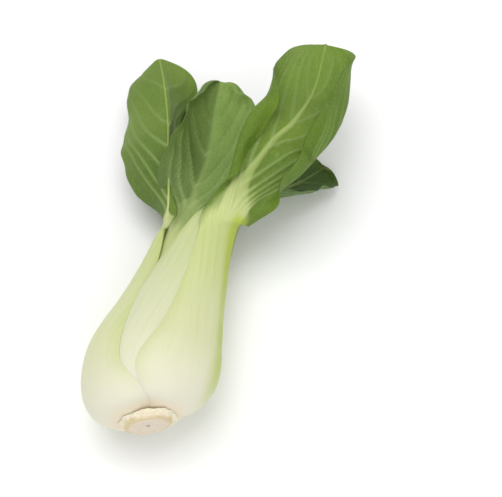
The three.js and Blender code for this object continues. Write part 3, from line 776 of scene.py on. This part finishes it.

# %% [markdown]
# ## The leaves
#
# Three outer leaves make the outside of the head: one on the left, one on the right that reaches
# over the top, and one below that the head rests on. Three second leaves fill the spaces between
# them, three inner ones stand inside, and three small heart leaves close the middle.
#
# A leaf's two margins are angles at even steps from stem to neck (0 is up, positive to the right),
# depth is how far its outer face lies below the skin, and sink is how much further each margin
# goes. Its spine is the midrib of the blade, and facing is the way its outer face looks there. The
# left and right halves have their own shape, fold, cup, roll and veins. Lobes says how far each
# half reaches ahead of the midrib at the tip. The rest is colour: greens, spread and fan place the
# change to green, pale and strip the yellow green of a stalk's margins, and the last pair darkens
# one half of the blade as painted shade, standing in for a half that is turned away from the light.

# %% Table of leaves
OUTER_STALK = [4.5, 6.6, 6, 4.8, 3.8]
SECOND_STALK = [3.5, 5, 4.8, 4, 3]
INNER_STALK = [3, 3.6, 3.5, 3, 2.4]
HEART_STALK = [1.6, 2, 2, 1.8, 1.4]
EVEN_VEINS = (-0.1, 0.05, 0.2, 0.36, 0.54, 0.72)
LEAVES = {
    "left_leaf": dict(
        slot="outer_leaf",
        margins=(
            [-153, -152, -150, -145, -138, -133, -128, -120, -112],
            [6, 5, -3, -23, -27.5, -33, -42, -55, -62],
        ),
        depth=0, sink=(1, [2.6, 2.6, 2.6, 5.5, 6.5]),
        thick=OUTER_STALK, width=(27, 27), wave=(1.0, 3, 0.5), tip=18, lobes=(2.5, 1),
        rib=0.5, rib_reach=0.05, fan=0.0, pale=0.25, greens=(-0.04, 0.06),
        spine=[
            (-12.5, 102, 1), (-14.5, 116, 4.5), (-19.5, 135, 6), (-25, 155, 4), (-33, 178, 0),
            (-39, 193, -5),
        ],
        facing=[(-8, -2, 5), (-3, -3, 8), (-1, -3, 9), (-1, -2, 10), (0, 0, 1), (0, 2, 10)],
        left=dict(shape=[0, 0.58, 0.9, 1, 0.93, 0.76, 0.5], fold=[12, -5, 8, 18], cup=40, roll=6,
                  veins=(0.0, 0.12, 0.25, 0.4, 0.56, 0.74)),
        right=dict(shape=[0, -0.3, -0.1, 0.3, 0.7, 0.9, 0.88], fold=[60, 90, 80, 20], cup=12, roll=-3,
                   veins=(0.2, 0.36, 0.54, 0.72)),
    ),
    "right_leaf": dict(
        slot="outer_leaf",
        margins=([5, 0, -7, -11, 5, 8, 10, 10, 0], [124, 124, 124, 118, 110, 102, 98, 90, 84]),
        depth=0, sink=(2.8, 2),
        thick=OUTER_STALK, width=(26, 32), wave=(1.1, 3, 1.0), tip=8,
        rib_reach=0.32, climb=1.05, pale=0.15, greens=(0.04, 0.2), spread=(0.1, 0.4), strip=(0, 0.38),
        spine=[
            (17, 100.5, 13), (19.5, 117, 16.5), (29.5, 139.5, 21.5), (36.5, 151.5, 22),
            (41, 174, 16), (41, 209, 8),
        ],
        facing=[(4, -1, 9), (3, -2, 9), (2, -2, 10), (1, 0, 10), (1, 1, 10), (0, 3, 10)],
        left=dict(shape=[0, -0.25, 0.75, 1.05, 1, 0.93, 0.8], fold=-7, cup=-12,
                  roll=[-23, -208, -160, -50, 0], roll_at=(0.47, 0.85),
                  veins=(-0.2, -0.08, 0.05, 0.2, 0.38, 0.56, 0.74)),
        right=dict(shape=[0, 0.36, 0.86, 1, 0.98, 0.88, 0.68], fold=-9, cup=[60, 42, 18, 18],
                   roll=[-19, -142, -150, -166, -20], roll_at=(0.5, 0.75),
                   veins=(-0.34, -0.24, -0.12, 0.02, 0.18, 0.36, 0.56, 0.76)),
    ),
    "under_leaf": dict(
        slot="outer_leaf", margins=([126, 134, 138, 146], [205, 216, 222, 218]), depth=0, sink=(4, 4),
        thick=OUTER_STALK, width=(19, 19), wave=(1.0, 3, 2.0),
        spine=[(-2.5, 104, -20), (0, 122, -25), (-2, 140, -28.2), (-3, 158, -28.7), (-3, 172, -26)],
        facing=[(0, 0, -1), (0, 0, -1), (0, 0, -1), (0, 1, -10), (0, 4, -10)],
        left=dict(cup=50, veins=EVEN_VEINS),
        right=dict(cup=50, veins=EVEN_VEINS),
    ),
    "middle_leaf": dict(
        slot="second_leaf",
        margins=([-40, -40, -44, -52, -52, -50, -34, -10, 10], [20, 20, 22, 30, 40, 42, 42, 42, 44]),
        depth=2.6, sink=(1.2, 1.8),
        thick=SECOND_STALK, width=(7, 12), wave=(1.0, 3, 0.0),
        spine=[(10.5, 107, 8.5), (17, 121, 8.5), (25, 136, 6), (33, 150, 1), (39, 163, -5)],
        facing=[(4, -1, 9), (3, -2, 9), (3, -1, 10), (2, 0, 10), (1, 3, 10)],
        left=dict(cup=110, veins=EVEN_VEINS),
        right=dict(cup=30, veins=EVEN_VEINS),
    ),
    "lower_right_leaf": dict(
        slot="second_leaf", margins=([70, 73, 80, 82], [160, 163, 156, 142]), depth=3.2, sink=(4, 4),
        thick=SECOND_STALK, width=(20, 20), wave=(1.5, 3, 1.0),
        spine=[(11, 106, -8), (20, 122, -11), (31, 136, -17), (42, 150, -25), (50, 162, -28.3)],
        facing=[(8, 0, -5), (6, -1, -7), (4, 0, -9), (2, 1, -10), (0, 2, -10)],
        left=dict(cup=50, veins=EVEN_VEINS),
        right=dict(cup=40, veins=EVEN_VEINS),
    ),
    "lower_left_leaf": dict(
        slot="second_leaf", margins=([-170, -173, -168, -165], [-80, -83, -92, -105]), depth=3.2, sink=(4, 4),
        thick=SECOND_STALK, width=(19, 19), wave=(1.2, 3, 2.4),
        spine=[(-9, 106, -13), (-12, 124, -21), (-17, 144, -27), (-24, 164, -28.6), (-29, 178, -26)],
        facing=[(-6, 0, -8), (-3, 0, -10), (-1, 0, -10), (0, 1, -10), (0, 2, -10)],
        left=dict(cup=40, veins=EVEN_VEINS),
        right=dict(cup=40, veins=EVEN_VEINS),
    ),
    "inner_left_leaf": dict(
        slot="inner_leaf", margins=([-97, -98, -90, -70], [-13, -14, -6, 4]),
        depth=[8.8, 8.8, 7.5, 4.6], sink=(1.4, 1.4),
        thick=INNER_STALK, width=(24, 31), wave=(1.0, 3, 2.0), tip=4,
        # Painted shade: the left half's colour is darkened to 0.7 because that half is turned away from the
        # light.
        rib=1.3, rib_reach=0.1, fan=0.05, greens=(-0.27, -0.14), early=0.7, half_shades=(0.7, 1.05),
        spine=[(-3, 106, 6.5), (-2, 120, 3.5), (-1.5, 137, 0), (-3, 154, -2), (-4.5, 168, -1), (-5, 180, 3)],
        facing=[(-3, -1, 9), (-1, -1, 10), (0, 0, 1), (0, -1, 10), (0, -3, 10), (0, -5, 10)],
        left=dict(fold=[-20, -40, -42, -36], cup=-22, roll=[0, 0, -60, -130], roll_at=(0.6, 0.95),
                  veins=(-0.28, -0.06, 0.16, 0.4, 0.66)),
        right=dict(fold=[-15, -34, -34, -26], cup=[-20, -20, -30, -40],
                   veins=(-0.24, -0.02, 0.2, 0.44, 0.7)),
    ),
    "inner_right_leaf": dict(
        slot="inner_leaf", margins=([16, 18, 22, 28], [100, 102, 98, 92]), depth=8.8, sink=(1.4, 1.4),
        thick=INNER_STALK, width=(13, 13), wave=(0.8, 3, 0.4),
        spine=[(5, 104, -2), (9, 118, -2), (14, 132, -3), (19, 146, -6), (24, 158, -10)],
        facing=[(7, 0, 6), (6, 0, 7), (4, 0, 9), (2, 1, 10), (0, 3, 10)],
    ),
    "inner_under_leaf": dict(
        slot="inner_leaf", margins=([134, 136, 140, 146], [218, 220, 216, 210]),
        depth=8.8, sink=(1.4, 1.4),
        thick=INNER_STALK, width=(13, 13), wave=(0.8, 3, 1.4),
        spine=[(0, 103, -12), (2, 117, -14), (5, 131, -15), (8, 144, -14), (11, 156, -11)],
        facing=[(0, 0, -1), (0, 0, -1), (0, 0, -1), (0, 1, -10), (0, 3, -10)],
    ),
    "heart_left_leaf": dict(
        slot="heart_leaf", margins=([-166, -166, -162, -159], [-74, -78, -82, -91]),
        depth=13.6, sink=(0.8, 0.8),
        thick=HEART_STALK, width=(8, 8), wave=(0.5, 3, 2.4),
        spine=[(0, 102, -7), (0, 112, -8.5), (0, 122, -10), (0, 131, -11)],
        facing=[(-9, 0, -3), (-8, 0, -2), (-8, 0, 0), (-8, 0, 1)],
    ),
    "heart_right_leaf": dict(
        slot="heart_leaf", margins=([74, 76, 78, 81], [166, 164, 158, 149]), depth=13.6, sink=(0.8, 0.8),
        thick=HEART_STALK, width=(8, 8), wave=(0.5, 3, 0.4),
        spine=[(7, 102, -7), (8, 111, -8), (10, 120, -9), (12, 128, -10)],
        facing=[(9, 0, -3), (8, 0, -2), (8, 0, 0), (8, 0, 1)],
    ),
    "heart_top_leaf": dict(
        slot="heart_leaf", margins=([-46, -44, -40, -34], [46, 44, 40, 34]), depth=13.6, sink=(0.8, 0.8),
        thick=HEART_STALK, width=(8, 8), wave=(0.5, 3, 1.4),
        spine=[(3, 101, 1), (4, 110, 0), (5, 119, -2), (6, 127, -4)],
        facing=[(0, 0, 1), (0, 0, 1), (0, 0, 1), (0, 1, 10)],
    ),
}
ROWS = {
    "outer_leaf": (110, 190, 56), "second_leaf": (80, 130, 40), "inner_leaf": (60, 90, 26),
    "heart_leaf": (40, 60, 18),
}  # rows up the stalk and up the blade, and columns from the midrib to a margin
YOUNG = dict(cup=60, veins=(-0.1, 0.08, 0.26, 0.46, 0.68))
print(len(LEAVES), "leaves")

# %% Grow the leaves
pieces = {}
for name, own in LEAVES.items():
    leaf = {**COMMON, **own, "rows": ROWS[own["slot"]]}
    for half_name in ("left", "right"):
        leaf[half_name] = {**PLAIN_SIDE, **own.get(half_name, YOUNG)}
    piece = leaf_mesh(name + "_surface", leaf, materials[leaf["slot"]])
    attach(piece, "root")
    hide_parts(name)
    pieces[name] = piece
print("faces of the leaves:", sum(len(piece.data.polygons) for piece in pieces.values()))

# %% [markdown]
# ## The stem base
#
# The cut stem is a slanting disc with a tan rim, and round it the scars where older leaves were
# pulled off leave a lumpy collar. Behind it the stem runs on inside the head to the growing point.

# %% Stem base
STEM_ROWS, STEM_COLUMNS = 150, 160
DISH = 0.35


def stem_profile():
    """Radius and distance along the head down the outline, rounded by a running mean."""
    place_on = np.linspace(0, 1, STEM_ROWS)[1:-1] * (len(STEM_OUTLINE) - 1)
    knots = np.arange(len(STEM_OUTLINE))
    profile = np.stack([np.interp(place_on, knots, outline[:, i]) for i in (0, 1)], -1)
    kernel = np.array([1, 2, 3, 2, 1]) / 9
    profile[2:-2] = np.stack([np.convolve(profile[:, i], kernel, "valid") for i in (0, 1)], -1)
    return profile


def stem_points(profile):
    """Points round the axis, then the middles of the two ends, and each one's radius. Sines of
    the angle make the collar lumpy, and the cut face has a shallow dish and faint saw marks."""
    angle = np.arange(STEM_COLUMNS) * 2 * np.pi / STEM_COLUMNS
    radius, angle = np.meshgrid(profile[:, 0], angle, indexing="ij")
    along = np.repeat(profile[:, 1:], STEM_COLUMNS, 1)
    collar = smooth(radius, 8.2, 10.2) * (1 - smooth(along, 5.2, 5.6))
    scars = 0.4 * np.sin(3 * angle + 0.6) + 0.3 * np.sin(7 * angle + 2) + 0.2 * np.sin(13 * angle + 1)
    scars += 0.25 * np.sin(9 * angle + 1.8 * along) + 0.15 * np.sin(23 * angle - 2.6 * along)
    radius = radius + collar * (scars - 0.3)
    on_face = 1 - smooth(along, 2.2, 2.6)
    saw = 0.1 * np.sin(2.1 * radius * np.cos(angle) + 0.4) * smooth(radius, 0, 2) * on_face
    dish = DISH * (1 - smooth(radius, 3, 8)) * on_face
    sides = place(along + saw + dish, radius, angle).reshape(-1, 3)
    ends = place(np.array([outline[0, 1] + DISH, outline[-1, 1]]), np.zeros(2), np.zeros(2))
    return np.vstack([sides, ends]), np.concatenate([radius.ravel(), [0, 0]])


def stem_faces(rows):
    """Quads between the rows of points, and fans of triangles to the middles of the ends."""
    row, i = np.meshgrid(np.arange(rows - 1), np.arange(STEM_COLUMNS), indexing="ij")
    after = (i + 1) % STEM_COLUMNS
    below, above = row * STEM_COLUMNS, (row + 1) * STEM_COLUMNS
    quads = np.stack([below + i, below + after, above + after, above + i], -1).reshape(-1, 4)
    i = np.arange(STEM_COLUMNS)
    after = (i + 1) % STEM_COLUMNS
    last, count = (rows - 1) * STEM_COLUMNS, rows * STEM_COLUMNS
    front = np.stack([np.full(STEM_COLUMNS, count), i, after], -1)
    back = np.stack([np.full(STEM_COLUMNS, count + 1), last + after, last + i], -1)
    return [quads[:, ::-1], front[:, ::-1], back[:, ::-1]]


profile = stem_profile()
points, from_axis = stem_points(profile)
stem_piece = new_mesh("stem_base_surface", to_frame(points), stem_faces(len(profile)),
                      {"radius": from_axis * MM}, np.zeros((len(points), 2)), stem_material)
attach(stem_piece, "root")
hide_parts("stem_base")
print("highest corner of the stem base in mm:", (np.array(stem_piece.bound_box).max(0) / MM).round(1))

# %% [markdown]
# ## Floor and light
#
# A pale floor, a large lamp nearly overhead, a weaker one in front on the right and an even pale
# sky, so the shadows stay soft.

# %% Floor and lamps
FLOOR_SIZE = 4.0
bpy.ops.mesh.primitive_plane_add(size=FLOOR_SIZE, location=(0, 0, 0))
floor = bpy.context.object
floor.name = "floor"
floor_material = bpy.data.materials.new("floor")
floor_material.use_nodes = True
floor_shader = floor_material.node_tree.nodes["Principled BSDF"]
floor_shader.inputs["Base Color"].default_value = (0.93, 0.93, 0.93, 1)
floor_shader.inputs["Roughness"].default_value = 0.8
floor.data.materials.append(floor_material)


def lamp(name, position, size, power):
    """A square lamp that looks at the middle of the head."""
    light = bpy.data.lights.new(name, "AREA")
    light.size = size
    light.energy = power
    made = bpy.data.objects.new(name, light)
    made.location = position
    made.rotation_euler = (Vector((0, 0, 0.02)) - made.location).to_track_quat("-Z", "Y").to_euler()
    bpy.context.scene.collection.objects.link(made)


lamp("key", (-0.12, 0.1, 1.1), 0.8, 6.0)
lamp("fill", (0.4, -0.9, 0.8), 0.9, 3.5)
world = bpy.data.worlds.new("pale")
world.use_nodes = True
world.node_tree.nodes["Background"].inputs["Color"].default_value = (1, 1, 1, 1)
world.node_tree.nodes["Background"].inputs["Strength"].default_value = 0.7
bpy.context.scene.world = world
bpy.context.scene.view_settings.view_transform = "Standard"
